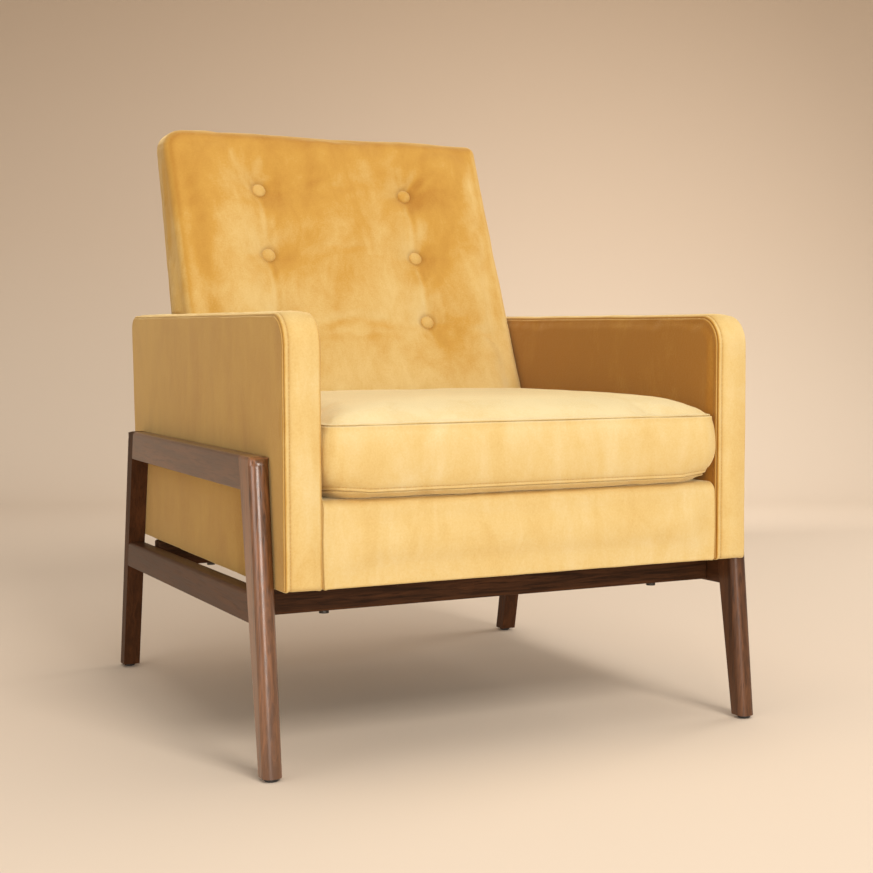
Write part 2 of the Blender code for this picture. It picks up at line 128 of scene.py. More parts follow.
class Finish:
    def __init__(self, name):
        self.material = bpy.data.materials.new(name)
        self.material.use_nodes = True
        self.tree = self.material.node_tree
        self.shader = self.tree.nodes["Principled BSDF"]

    def add(self, kind, settings, values, out=0):
        node = self.tree.nodes.new(kind)
        for key, value in settings.items():
            if key == "stops":
                ramp = node.color_ramp
                while len(ramp.elements) < len(value):
                    ramp.elements.new(0.5)
                for element, (place, colour) in zip(ramp.elements, value):
                    element.position = place
                    element.color = colour
            else:
                setattr(node, key, value)
        plug(self.tree, node, values.items())
        return Wire(self.tree, node.outputs[out])

    def feed(self, name, wire):
        self.tree.links.new(wire.socket, self.shader.inputs[name])

    def fix(self, **values):
        for name, value in values.items():
            self.shader.inputs[name.replace("_", " ")].default_value = value

    def place(self, stretch=(1, 1, 1), shift=(0, 0, 0)):
        spot = self.add("ShaderNodeTexCoord", {}, {}, "Object")
        return self.add("ShaderNodeMapping", {}, {"Vector": spot, "Scale": stretch, "Location": shift})

    def noise(self, scale, detail=2, rough=0.5, twist=0.0, stretch=(1, 1, 1), shift=(0, 0, 0)):
        return self.add("ShaderNodeTexNoise", {}, {
            "Vector": self.place(stretch, shift), "Scale": scale, "Detail": detail,
            "Roughness": rough, "Distortion": twist})

    def ramp(self, fac, stops):
        return self.add("ShaderNodeValToRGB", {"stops": stops}, {"Fac": fac})

    def blend(self, fac, first, second, how="MIX"):
        node = self.tree.nodes.new("ShaderNodeMix")
        node.data_type = "RGBA"
        node.blend_type = how
        plug(self.tree, node, ((0, fac), (6, first), (7, second)))
        return Wire(self.tree, node.outputs[2])

    def bump(self, height, depth, strength=1.0, under=None):
        values = {"Height": height, "Distance": depth, "Strength": strength}
        if under:
            values["Normal"] = under
        return self.add("ShaderNodeBump", {}, values)


def rgb(red, green, blue):
    return (red, green, blue, 1.0)


def makeVelvet(name, tones, sheen):
    deep, middle, pale, paintedSheen = tones
    made = Finish(name)
    patches = made.noise(7.0, 4, 0.6, 0.8)                                  # nap brushed by hands
    strokes = made.noise(24.0, 5, 0.65, 0.5, (1.0, 1.0, 0.35), (3, 1, 7))
    specks = made.noise(420.0, 2, 0.7)
    pile = made.noise(1700.0, 2, 0.6)
    # the pile-lightness attribute read here holds painted light, sheen and shade by facing, besides the
    # pile's own lay
    napAndLight = made.add("ShaderNodeAttribute", {"attribute_name": "napLay"}, {}, "Fac")
    paintedSeamShade = made.add("ShaderNodeAttribute", {"attribute_name": "seamShade"}, {}, "Fac")
    lay = patches * 0.34 + strokes * 0.44 + specks * 0.22
    brush = napAndLight + (lay - 0.5) * 0.92
    colour = made.ramp(brush, [(0.08, deep), (0.42, middle), (0.70, pale), (0.96, paintedSheen)])
    # painted shade in the seam grooves, stitch dips and button folds
    colour = made.blend(paintedSeamShade * 0.45, colour, rgb(deep[0] * 0.6, deep[1] * 0.55, deep[2] * 0.5))
    made.feed("Base Color", colour)
    made.feed("Roughness", 0.70 + lay * 0.16)
    soft = made.bump(specks, 0.0006, 0.55)
    made.feed("Normal", made.bump(pile, 0.00035, 0.6, soft))
    made.fix(Sheen_Weight=sheen, Sheen_Roughness=0.38, Specular_IOR_Level=0.2)
    made.shader.inputs["Sheen Tint"].default_value = rgb(1.0, 0.80, 0.44)
    return made.material


def makeWood(name, along, pale, deep, rough, coat, shine):
    made = Finish(name)
    stretch = {"X": (0.07, 1, 1), "Y": (1, 0.07, 1), "Z": (1, 1, 0.07)}[along]
    drift = made.noise(16.0, 4, 0.55, 0.6, stretch, (2, 5, 1))
    streaks = made.noise(95.0, 6, 0.7, 0.9, stretch)
    pores = made.noise(640.0, 3, 0.6, 0.0, tuple(0.5 * item for item in stretch))
    body = drift * 0.5 + streaks * 0.5
    middle = tuple((high + low) / 2 for high, low in zip(pale, deep))
    colour = made.ramp(body, [(0.42, deep), (0.5, middle), (0.59, pale)])
    dark = made.ramp(pores, [(0.34, rgb(1, 1, 1)), (0.50, rgb(0, 0, 0))])
    colour = made.blend(0.75 * dark, colour, rgb(deep[0] * 0.5, deep[1] * 0.45, deep[2] * 0.4))
    # lighter rounded edges: partly edge wear, partly painted highlight
    edge = made.add("ShaderNodeNewGeometry", {}, {}, "Pointiness")
    wearAndHighlight = made.ramp(edge, [(0.52, rgb(0, 0, 0)), (0.60, rgb(1, 1, 1))])
    colour = made.blend(0.35 * wearAndHighlight, colour, rgb(*(min(1, 1.7 * item) for item in pale[:3])))
    made.feed("Base Color", colour)
    made.feed("Roughness", rough + streaks * 0.18)
    made.feed("Normal", made.bump(1 - dark * 0.6 + streaks * 0.4, 0.0004, 0.5))
    made.fix(Coat_Weight=coat, Coat_Roughness=0.22, Specular_IOR_Level=shine)
    return made.material


def makeMetal():
    made = Finish("zincSteel")
    swirl = made.noise(160.0, 4, 0.7, 1.2)
    dull, bright = rgb(0.030, 0.027, 0.024), rgb(0.08, 0.075, 0.07)
    made.feed("Base Color", made.ramp(swirl, [(0.3, dull), (0.7, bright)]))
    made.feed("Roughness", 0.25 + swirl * 0.3)
    made.feed("Normal", made.bump(swirl, 0.0001, 0.4))
    made.fix(Metallic=1.0)
    return made.material


def makePlastic():
    made = Finish("glidePlastic")
    grain = made.noise(900.0, 3, 0.6)
    scuff = made.noise(60.0, 5, 0.7, 0.4)
    black, wearAndHighlight = rgb(0.018, 0.016, 0.015), rgb(0.05, 0.046, 0.042)
    made.feed("Base Color", made.ramp(scuff, [(0.4, black), (0.75, wearAndHighlight)]))
    made.feed("Roughness", 0.42 + scuff * 0.25)
    made.feed("Normal", made.bump(grain, 0.0002, 0.4))
    return made.material


def makeCloth(name, pale, deep, threads):
    made = Finish(name)
    warp = made.add("ShaderNodeTexWave", {"bands_direction": "X"},
                    {"Vector": made.place(), "Scale": threads, "Distortion": 0.6}, "Fac")
    weft = made.add("ShaderNodeTexWave", {"bands_direction": "Y"},
                    {"Vector": made.place(), "Scale": threads, "Distortion": 0.6}, "Fac")
    lint = made.noise(220.0, 3, 0.6)
    weave = warp * weft * 0.7 + lint * 0.3
    made.feed("Base Color", made.ramp(weave, [(0.2, deep), (0.8, pale)]))
    made.feed("Normal", made.bump(weave, 0.0003, 0.6))
    made.feed("Roughness", 0.82 + lint * 0.12)
    return made.material


def makeFoam():
    made = Finish("foamCells")
    cells = made.add("ShaderNodeTexVoronoi", {}, {"Vector": made.place(), "Scale": 700.0}, "Distance")
    age = made.noise(9.0, 3)
    made.feed("Base Color", made.ramp(age, [(0.35, rgb(0.80, 0.70, 0.46)), (0.7, rgb(0.90, 0.84, 0.66))]))
    made.feed("Roughness", 0.85 + age * 0.1)
    made.feed("Normal", made.bump(cells, 0.0005, 0.7))
    return made.material


# the last and palest gold tone is painted sheen, reached where the pile lightness is highest
goldTones = [rgb(0.35, 0.145, 0.016), rgb(0.50, 0.272, 0.050), rgb(0.63, 0.450, 0.180),
             rgb(0.70, 0.580, 0.330)]
velvet = makeVelvet("goldVelvet", goldTones, 0.85)
# one walnut in lit and shaded copies: the front left leg painted lighter, the front right leg, rear legs,
# lower rails and cross rails painted darker; partly tone from board to board, partly painted light and shade
walnutLit = makeWood("walnutLit", "Z", rgb(0.215, 0.085, 0.031), rgb(0.018, 0.006, 0.002),
                     0.24, 0.75, 0.5)
walnutShadedFront = makeWood("walnutShadedFront", "Z", rgb(0.120, 0.048, 0.019), rgb(0.016, 0.005, 0.002),
                      0.34, 0.15, 0.3)
walnutShadedRear = makeWood("walnutShadedRear", "Z", rgb(0.076, 0.027, 0.009), rgb(0.009, 0.003, 0.001),
                      0.42, 0.05, 0.12)
walnutLong = makeWood("walnutLong", "Y", rgb(0.150, 0.068, 0.034), rgb(0.018, 0.007, 0.003),
                      0.28, 0.45, 0.5)
walnutShadedLow = makeWood("walnutShadedLow", "Y", rgb(0.085, 0.033, 0.013), rgb(0.010, 0.003, 0.001),
                     0.36, 0.12, 0.2)
walnutShadedWide = makeWood("walnutShadedWide", "X", rgb(0.080, 0.031, 0.012), rgb(0.007, 0.003, 0.001),
                      0.45, 0.0, 0.1)
beech = makeWood("beechSawn", "X", rgb(0.66, 0.48, 0.30), rgb(0.48, 0.32, 0.18),
                 0.6, 0.0, 0.4)
zincSteel = makeMetal()
glidePlastic = makePlastic()
cambric = makeCloth("blackCambric", rgb(0.045, 0.045, 0.048), rgb(0.016, 0.016, 0.018), 260.0)
jute = makeCloth("juteWebbing", rgb(0.50, 0.37, 0.20), rgb(0.26, 0.18, 0.09), 190.0)
foamCells = makeFoam()
thread = makeCloth("goldThread", rgb(0.72, 0.42, 0.12), rgb(0.42, 0.22, 0.05), 900.0)
print("materials made")


def finishPiece(shape, name, material, body, smooth=40):
    mesh = bpy.data.meshes.new(name)
    if isinstance(shape, bmesh.types.BMesh):
        shape.to_mesh(mesh)
        shape.free()
    else:
        mesh = shape
        mesh.name = name
    mesh.materials.clear()
    mesh.materials.append(material)
    mesh.shade_smooth()
    if smooth:
        mesh.set_sharp_from_angle(angle=math.radians(smooth))
    piece = bpy.data.objects.new(name, mesh)
    bpy.context.scene.collection.objects.link(piece)
    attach(piece, body)
    return piece


def bevel(shape, geom, radius, steps, affect="EDGES"):
    bmesh.ops.bevel(shape, geom=geom, offset=radius, offset_type="OFFSET", segments=steps, profile=0.5,
                    affect=affect, material=-1)


def thicken(shape, way):
    # carry a flat outline along a vector into a closed block
    carried = bmesh.ops.extrude_face_region(shape, geom=shape.faces[:])
    moved = [item for item in carried["geom"] if isinstance(item, bmesh.types.BMVert)]
    bmesh.ops.translate(shape, verts=moved, vec=way)
    bmesh.ops.recalc_face_normals(shape, faces=shape.faces[:])


def slab(corners, lowX, highX, steps=6):
    # a side outline of (depth, height, radius) corners, carried across the chair
    shape = bmesh.new()
    points = [shape.verts.new((lowX, frontY + depth, height)) for depth, height, radius in corners]
    shape.faces.new(points)
    for point, (depth, height, radius) in zip(points, corners):
        if radius:
            bevel(shape, [point], radius, steps, "VERTICES")
    thicken(shape, (highX - lowX, 0, 0))
    return shape


def lathe(profile, steps):
    # turn a (radius, height) line round the upright axis
    shape = bmesh.new()
    points = [shape.verts.new((radius, 0, height)) for radius, height in profile]
    edges = [shape.edges.new(pair) for pair in zip(points, points[1:])]
    bmesh.ops.spin(shape, geom=points + edges, cent=(0, 0, 0), axis=(0, 0, 1), angle=math.tau,
                   steps=steps, use_merge=True)
    bmesh.ops.remove_doubles(shape, verts=shape.verts[:], dist=1e-6)
    bmesh.ops.recalc_face_normals(shape, faces=shape.faces[:])
    return shape


def board(name, corners, lowX, highX, rounds, material, nodes):
    # rounds gives each long edge's radius by the way its narrow face looks, and the end grain's
    shape = slab(corners, lowX, highX)
    wanted = {}
    for edge in shape.edges:
        if edge.calc_face_angle(0) < 0.6:
            continue
        if abs(edge.verts[0].co.x - edge.verts[1].co.x) > 1e-6:
            way = "across"
        else:
            looks = [face.normal for face in edge.link_faces if abs(face.normal.x) < 0.5][0]
            endOn = "front" if looks.y < 0 else "rear"
            way = "top" if looks.z > 0.8 else "bottom" if looks.z < -0.8 else endOn
        wanted.setdefault(rounds[way], []).append(edge)
    for width in sorted(wanted, reverse=True):
        edges = [edge for edge in wanted[width] if edge.is_valid]
        if width and edges:
            bevel(shape, edges, width, 8 if width > 0.006 else 3)
    piece = finishPiece(shape, name, material, chair, 30)
    even = piece.modifiers.new("evenNormals", "WEIGHTED_NORMAL")
    even.keep_sharp = True
    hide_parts(*nodes)


sideFrame = {
    "outer": 0.360,
    "inner": 0.3343,
    "top": 0.388,
    "foot": 0.0043,
    "frontLeg": (0.004, 0.106, 0.026, 0.170),      # front edge and its lean, rear edge and its lean
    "rearLeg": (0.7176, -0.2256, 0.7476, -0.2093),
    "topRail": 0.043,
    "lowerRail": (0.2235, 0.039, 0.021),           # top, depth and fall towards the rear
    "joint": 0.0003,
    "frontRounds": {"front": 0.0108, "rear": 0.0012, "top": 0.0045, "bottom": 0.0016, "across": 0.0012},
    "rearRounds": {"front": 0.0012, "rear": 0.0080, "top": 0.0045, "bottom": 0.0016, "across": 0.0012},
    "railRounds": {"front": 0, "rear": 0, "top": 0.0045, "bottom": 0.0022, "across": 0},
    "cornerRound": 0.013,
}


def edgeAt(leg, which, height):
    return leg[which] + leg[which + 1] * height


def makeSideFrame(plan):
    top, foot, joint = plan["top"], plan["foot"], plan["joint"]
    front, rear = plan["frontLeg"], plan["rearLeg"]
    for sideName, side in sides.items():
        lowX, highX = sorted((side * plan["inner"], side * plan["outer"]))
        frontLeg = [(edgeAt(front, 0, foot), foot, 0), (edgeAt(front, 0, top), top, plan["cornerRound"]),
                    (edgeAt(front, 2, top), top, 0), (edgeAt(front, 2, foot), foot, 0)]
        rearLeg = [(edgeAt(rear, 0, foot), foot, 0), (edgeAt(rear, 0, top), top, 0),
                   (edgeAt(rear, 2, top), top, plan["cornerRound"]), (edgeAt(rear, 2, foot), foot, 0)]
        # the front left leg gets the painted lighter walnut, the front right leg a painted darker one
        frontWood = walnutLit if side < 0 else walnutShadedFront
        board(sideName + "FrontLeg", frontLeg, lowX, highX, plan["frontRounds"], frontWood,
              [sideName + "_front_leg"])
        board(sideName + "RearLeg", rearLeg, lowX, highX, plan["rearRounds"], walnutShadedRear,
              [sideName + "_rear_leg"])
        rails = (("TopRail", "_top_rail", walnutLong, top, plan["topRail"], 0),
                 ("LowerRail", "_lower_rail", walnutShadedLow, *plan["lowerRail"]))
        for railName, node, wood, high, deep, fall in rails:
            start = edgeAt(front, 2, high)
            corners = []
            for height in (high - deep, high):
                corners.append((edgeAt(front, 2, height) + joint, height, 0))
            for height in (high, high - deep):
                lowered = height - fall * (edgeAt(rear, 0, height) - start)
                corners.append((edgeAt(rear, 0, lowered) - joint, lowered, 0))
            board(sideName + railName, corners, lowX, highX, plan["railRounds"], wood,
                  [sideName + node])


makeSideFrame(sideFrame)


def makeCrossRails():
    for end in ("front", "rear"):
        low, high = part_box(end + "_cross_rail")
        corners = [(low.y - frontY, low.z, 0), (low.y - frontY, high.z, 0),
                   (high.y - frontY, high.z, 0), (high.y - frontY, low.z, 0)]
        rounds = dict.fromkeys(sideFrame["railRounds"], 0.003)
        board(end + "CrossRail", corners, low.x, high.x, rounds, walnutShadedWide, [end + "_cross_rail"])


makeCrossRails()


def makeGlides():
    for sideName in sides:
        for end in ("front", "rear"):
            node = f"{sideName}_{end}_glide"
            low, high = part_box(node)
            middle, radius = (low + high) / 2, (high.x - low.x) / 2
            profile = [(0, 0), (radius - 0.0016, 0), (radius - 0.0004, 0.0006), (radius, 0.0016),
                       (radius, high.z - 0.0006), (radius - 0.0006, high.z), (0, high.z)]
            shape = lathe(profile, 40)
            bmesh.ops.translate(shape, verts=shape.verts[:], vec=(middle.x, middle.y, 0))
            glide = finishPiece(shape, f"{sideName}{end.title()}Glide", glidePlastic, chair)
            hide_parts(node)


makeGlides()
print("show-wood made")


def readArray(data, key, kind=float):
    flat = np.empty(len(data) * 3, dtype=kind)
    data.foreach_get(key, flat)
    return flat.reshape(-1, 3)


def coordsOf(mesh):
    return readArray(mesh.vertices, "co")


def normalsOf(mesh):
    return readArray(mesh.vertices, "normal")


def restOf(mesh):
    return readArray(mesh.attributes["rest"].data, "vector")


def trianglesOf(mesh):
    mesh.calc_loop_triangles()
    return readArray(mesh.loop_triangles, "vertices", np.int32)


def setCoords(mesh, coords):
    mesh.vertices.foreach_set("co", np.asarray(coords, dtype=np.float32).ravel())
    mesh.update()


def keepRest(mesh):
    rest = mesh.attributes.new("rest", "FLOAT_VECTOR", "POINT")
    rest.data.foreach_set("vector", coordsOf(mesh).astype(np.float32).ravel())


def keepNumbers(mesh, name, values):
    kept = mesh.attributes.new(name, "FLOAT", "POINT")
    kept.data.foreach_set("value", np.asarray(values, dtype=np.float32))


def evaluated(piece):
    graph = bpy.context.evaluated_depsgraph_get()
    return bpy.data.meshes.new_from_object(piece.evaluated_get(graph), preserve_all_data_layers=True,
                                           depsgraph=graph)


def throughModifier(mesh, kind, **settings):
    # run one modifier over a mesh and return the result
    carrier = bpy.data.objects.new("carrier", mesh)
    bpy.context.scene.collection.objects.link(carrier)
    modifier = carrier.modifiers.new("work", kind)
    for key, value in settings.items():
        setattr(modifier, key, value)
    made = evaluated(carrier)
    bpy.data.objects.remove(carrier)
    return made


def cutAlong(shape, axis, places):
    # even cross cuts, so that a flat panel can swell
    normal = Vector((0, 0, 0))
    normal[axis] = 1
    for place in places:
        geometry = shape.verts[:] + shape.edges[:] + shape.faces[:]
        bmesh.ops.bisect_plane(shape, geom=geometry, dist=1e-5, plane_co=normal * place, plane_no=normal)


def span(low, high, pitch, margin):
    count = max(1, round((high - low - 2 * margin) / pitch))
    return [low + margin + (high - low - 2 * margin) * step / count for step in range(count + 1)]


def ringPanels(shape, panels, rings):
    # rows of faces that follow a panel's sewn edge, for its seam and its topstitching
    before = 0
    for ring in rings:
        bmesh.ops.inset_region(shape, faces=panels, thickness=ring - before, use_even_offset=True,
                               use_boundary=True)
        before = ring


def puff(mesh, plan, held):
    # inflate a closed cloth shell, with the held vertices staying where they are
    start = coordsOf(mesh)
    carrier = bpy.data.objects.new("carrier", mesh)
    bpy.context.scene.collection.objects.link(carrier)
    cloth = carrier.modifiers.new("cloth", "CLOTH")
    settings = cloth.settings
    settings.quality = 4
    settings.mass = 0.3
    settings.tension_stiffness = plan["tension"]
    settings.compression_stiffness = plan["tension"]
    settings.shear_stiffness = 4
    settings.bending_stiffness = plan["bending"]
    settings.shrink_min = plan["shrink"]
    settings.use_pressure = True
    settings.uniform_pressure_force = plan["pressure"]
    settings.effector_weights.gravity = 0
    if held is not None:
        group = carrier.vertex_groups.new(name="held")
        group.add([int(index) for index in held], 1.0, "REPLACE")
        settings.vertex_group_mass = "held"
    scene = bpy.context.scene
    for step in range(1, 21):
        scene.frame_set(step)
    made = evaluated(carrier)
    moved = coordsOf(made) - start
    bpy.data.objects.remove(carrier)
    bpy.data.meshes.remove(made)
    scene.frame_set(1)
    length = np.linalg.norm(moved, axis=1, keepdims=True) + 1e-9
    setCoords(mesh, start + moved * plan["cap"] * np.tanh(length / plan["cap"]) / length)


def swell(shape, plan, sink=None, held=None, pullIn=None):
    # simulate a remeshed copy of the sewn shape, then carry its swelling over to the clean mesh
    clean = bpy.data.meshes.new("clean")
    shape.to_mesh(clean)
    shape.free()
    keepRest(clean)
    copy = throughModifier(clean.copy(), "REMESH", mode="VOXEL", voxel_size=plan["voxel"], adaptivity=0)
    start = coordsOf(copy)
    keepRest(copy)
    if sink is not None:
        setCoords(copy, start + sink(start))
    puff(copy, plan, held(start) if held else None)
    moved = coordsOf(copy) - start
    triangles = trianglesOf(copy)
    tree = BVHTree.FromPolygons([Vector(point) for point in start], triangles.tolist())
    coords, normals = coordsOf(clean), normalsOf(clean)
    shift = np.zeros_like(coords)
    for index, point in enumerate(coords):
        spot, facing, found, far = tree.find_nearest(Vector(point))
        corners = triangles[found]
        weights = 1 / (np.linalg.norm(start[corners] - np.array(spot), axis=1) + 1e-5)
        shift[index] = (moved[corners] * (weights / weights.sum())[:, None]).sum(0)
    outward = (shift * normals).sum(1)
    keep = plan["pullIn"] if pullIn is None else pullIn(coords)
    outward = np.where(outward < 0, outward * keep, outward)
    setCoords(clean, coords + normals * outward[:, None])
    return throughModifier(clean, "SUBSURF", levels=1, render_levels=1)


def farFrom(paths, rest):
    points = [Vector(point) for path in paths for point in path]
    tree = KDTree(len(points))
    for index, point in enumerate(points):
        tree.insert(point, index)
    tree.balance()
    return np.array([tree.find(Vector(point))[2] for point in rest])


def relief(mesh, seams, stitches, plan):
    # press the seams and the topstitching in and raise the welt between them; the seams and stitch dips also
    # get painted shade
    rest, coords, normals = restOf(mesh), coordsOf(mesh), normalsOf(mesh)
    away = farFrom(seams, rest)
    push = (plan["welt"] * np.exp(-((away - plan["stitch"] / 2) / (plan["stitch"] * 0.42)) ** 2)
            - plan["groove"] * np.exp(-(away / plan["grooveWidth"]) ** 2))
    if stitches:
        near = farFrom(stitches, rest)
        push -= plan["dip"] * np.exp(-(near / 0.0016) ** 2)
        away = np.minimum(away, near + 0.0007)
    setCoords(mesh, coords + normals * push[:, None])
    # painted shade in the seam grooves and stitch dips
    keepNumbers(mesh, "seamShade", np.exp(-(away / 0.0016) ** 2))


def layNapAndPaintedLight(mesh, front, top, outer, inner, side=0):
    # pile lightness by facing, partly the pile's lay and partly painted light and sheen: paler on panels
    # that face forwards and up, deeper on side panels, and the inner side panel can take its own painted
    # shade
    normals = normalsOf(mesh)
    facing = normals ** 2
    sideways = np.where(normals[:, 0] * side < 0, inner, outer)
    upward = np.where(normals[:, 2] > 0, top, front)
    napAndLight = front * facing[:, 1] + upward * facing[:, 2] + sideways * facing[:, 0]
    keepNumbers(mesh, "napLay", napAndLight)
    return napAndLight


def unevenness(mesh, amount, size, seed):
    coords, normals = coordsOf(mesh), normalsOf(mesh)
    offset = Vector((seed * 3.1, seed * 1.7, seed * 2.3))
    lift = np.array([noise.noise(Vector(point) / size + offset)
                     + 0.45 * noise.noise(Vector(point) / (size * 0.4) - offset) for point in coords])
    setCoords(mesh, coords + normals * (amount * lift)[:, None])


def surfaceSampler(mesh):
    # carries points of the sewn shape to the finished surface
    rest, coords = restOf(mesh), coordsOf(mesh)
    triangles = trianglesOf(mesh)
    tree = BVHTree.FromPolygons([Vector(point) for point in rest], triangles.tolist())

    def sample(point):
        spot, facing, index, far = tree.find_nearest(Vector(point))
        before = [Vector(rest[corner]) for corner in triangles[index]]
        after = [Vector(coords[corner]) for corner in triangles[index]]
        outward = (after[1] - after[0]).cross(after[2] - after[0]).normalized()
        return barycentric_transform(spot, *before, *after), outward
    return sample


def resample(path, pitch):
    spaced, carry = [], 0.0
    for first, second in zip(path, path[1:]):
        first, second = Vector(first), Vector(second)
        length = (second - first).length
        along = carry
        while along < length:
            spaced.append(first.lerp(second, along / length))
            along += pitch
        carry = along - length
    return spaced


stitchPlan = {"pitch": 0.0042, "length": 0.0031, "width": 0.0007}


def topstitch(name, mesh, paths, body, plan):
    # short thread stitches lying in the dip beside a seam
    sample = surfaceSampler(mesh)
    grain = bmesh.new()
    bmesh.ops.create_icosphere(grain, subdivisions=1, radius=0.5)
    template = bpy.data.meshes.new("stitchGrain")
    grain.to_mesh(template)
    grain.free()
    shape = bmesh.new()
    for path in paths:
        spots = [sample(point) for point in resample(path, plan["pitch"])]
        for (place, outward), (ahead, unused) in zip(spots, spots[1:]):
            along = ahead - place
            if along.length < plan["pitch"] * 0.3 or along.length > plan["pitch"] * 2.5:
                continue
            along.normalize()
            across = outward.cross(along).normalized()
            turn = Matrix((along * plan["length"], across * plan["width"], outward * plan["width"]))
            start = len(shape.verts)
            shape.from_mesh(template)
            shape.verts.ensure_lookup_table()
            bmesh.ops.transform(shape, verts=shape.verts[start:],
                                matrix=Matrix.Translation(place) @ turn.transposed().to_4x4())
    finishPiece(shape, name, thread, body, 0)


def dense(path, pitch=0.0015):
    return [tuple(point) for point in resample(path, pitch)]


def rimOf(shape, axis, place):
    # the closed edge path of the flat panel that lies at a place on an axis
    face = max((item for item in shape.faces if abs(item.calc_center_median()[axis] - place) < 1e-4),
               key=lambda item: item.calc_area())
    ring = [loop.vert.co.copy() for loop in face.loops]
    return face, ring + [ring[0]]


def sewnSlab(corners, lowX, highX, plan, steps=12):
    # an upright block with seams round both side panels; gives its shape, seams and stitch lines
    shape = slab(corners, lowX, highX, steps)
    panels, seams, stitches = [], [], []
    for edgeX, inwards in ((lowX, 1), (highX, -1)):
        panel, rim = rimOf(shape, 0, edgeX)
        panels.append(panel)
        seams.append(dense(rim))
        stitches.append([(point[0] + inwards * plan["stitch"], point[1], point[2]) for point in dense(rim)])
    ringPanels(shape, panels, plan["rings"])
    bands = sorted({*plan["rings"], *plan["bandCuts"]})
    cutAlong(shape, 0, [lowX + ring for ring in bands] + [highX - ring for ring in bands])
    cutAlong(shape, 0, span(lowX, highX, plan["pitch"], bands[-1] + plan["pitch"]))
    depths = [vert.co.y for vert in shape.verts]
    heights = [vert.co.z for vert in shape.verts]
    cutAlong(shape, 1, span(min(depths), max(depths), plan["pitch"], 0.010))
    cutAlong(shape, 2, span(min(heights), max(heights), plan["pitch"], 0.010))
    return shape, seams, stitches


arms = {
    "voxel": 0.006,
    "pressure": 2.2,
    "cap": 0.005,
    "tension": 20,
    "bending": 0.6,
    "shrink": 0.0,
    "pullIn": 0.12,
    "inset": 0.0004,
    "bottom": (0.2276, 0.2213),             # height of the underside at the front and the rear
    "rearLean": 0.0202,
    "corner": 0.037,
    "rearCorner": 0.020,
    "frontLower": 0.0098,       # how far the top is lower at the front
    "pitch": 0.0075,
    "rings": (0.0010, 0.0021, 0.0034, 0.0052),
    "bandCuts": (0.0058, 0.0066, 0.0074, 0.0086),
    "stitch": 0.0066,
    "welt": 0.0007,
    "groove": 0.0014,
    "grooveWidth": 0.0013,
    "dip": 0.0008,
    "crown": 0.0055,            # how far the band stands proud of its seams
    "uneven": (0.0006, 0.055),              # depth and breadth of the waves in the cloth
    "napAndLight": (0.72, 0.60, 0.30, 0.07),        # pile lightness on the front, top, outer and inner panels, painted lighter where light and sheen fall and painted darker on the shaded inner panel
}


def crownBand(mesh, lowX, highX, crown):
    # round the sewn band over from seam to seam
    rest, coords, normals = restOf(mesh), coordsOf(mesh), normalsOf(mesh)
    across = np.clip((rest[:, 0] - (lowX + highX) / 2) / ((highX - lowX) / 2), -1, 1)
    onBand = np.clip(1 - np.abs(normals[:, 0]) * 1.6, 0, 1) ** 0.3 * np.clip(1 + normals[:, 2] * 1.5, 0, 1)
    arch = crown * (1 - np.abs(across) ** 2.6) ** 0.75 * onBand
    setCoords(mesh, coords + normals * (0, 1, 1) * arch[:, None])


def makeArms(plan):
    for sideName, side in sides.items():
        low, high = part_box(sideName + "_arm_cover")
        inset, depth = plan["inset"], high.y - frontY
        topFront, bottomRear = high.z - plan["frontLower"], depth - plan["rearLean"]
        corners = [(inset, plan["bottom"][0], 0), (inset, topFront - inset, plan["corner"]),
                   (depth - inset, high.z - inset, plan["rearCorner"]), (bottomRear, plan["bottom"][1], 0)]
        shape, seams, stitches = sewnSlab(corners, low.x + inset, high.x - inset, plan)
        mesh = swell(shape, plan)
        crownBand(mesh, low.x + inset, high.x - inset, plan["crown"])
        relief(mesh, seams, stitches[:1], plan)
        unevenness(mesh, *plan["uneven"], 3 + side)
        coords = coordsOf(mesh)
        innerWall, outerWall = sorted((low.x * side, high.x * side))
        reach = np.clip(coords[:, 0] * side, innerWall - 0.003, outerWall - 0.0001)
        coords[:, 0] = reach * side
        setCoords(mesh, coords)
        layNapAndPaintedLight(mesh, *plan["napAndLight"], side)
        arm = finishPiece(mesh, sideName + "ArmVelvet", velvet, chair, 0)
        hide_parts(sideName + "_arm_cover", sideName + "_arm_foam")
        topstitch(sideName + "ArmStitches", mesh, stitches[:1], chair, stitchPlan)


makeArms(arms)
print("arms made")

border = {
    "voxel": 0.006,
    "pressure": 2.5,
    "cap": 0.005,
    "tension": 16,
    "bending": 0.4,
    "shrink": 0.0,
    "pullIn": 0.1,
    "inset": 0.0003,
    "topRound": 0.012,
    "bottomRound": 0.003,
    "rearCut": 0.045,
    "pitch": 0.009,
    "rings": (0.0011, 0.0024, 0.0040),
    "bandCuts": (0.0055, 0.0075),
    "stitch": 0.006,
    "welt": 0.0006,
    "groove": 0.0016,
    "grooveWidth": 0.0014,
    "bow": 0.0016,              # how far the front swells past its side seams
    "bowDepth": 0.02,
    "bowHeight": 0.054,
    "uneven": (0.0005, 0.07),
    # pile lightness by facing, with painted light and sheen on the front and top
    "napAndLight": (0.74, 0.60, 0.50, 0.50),
}


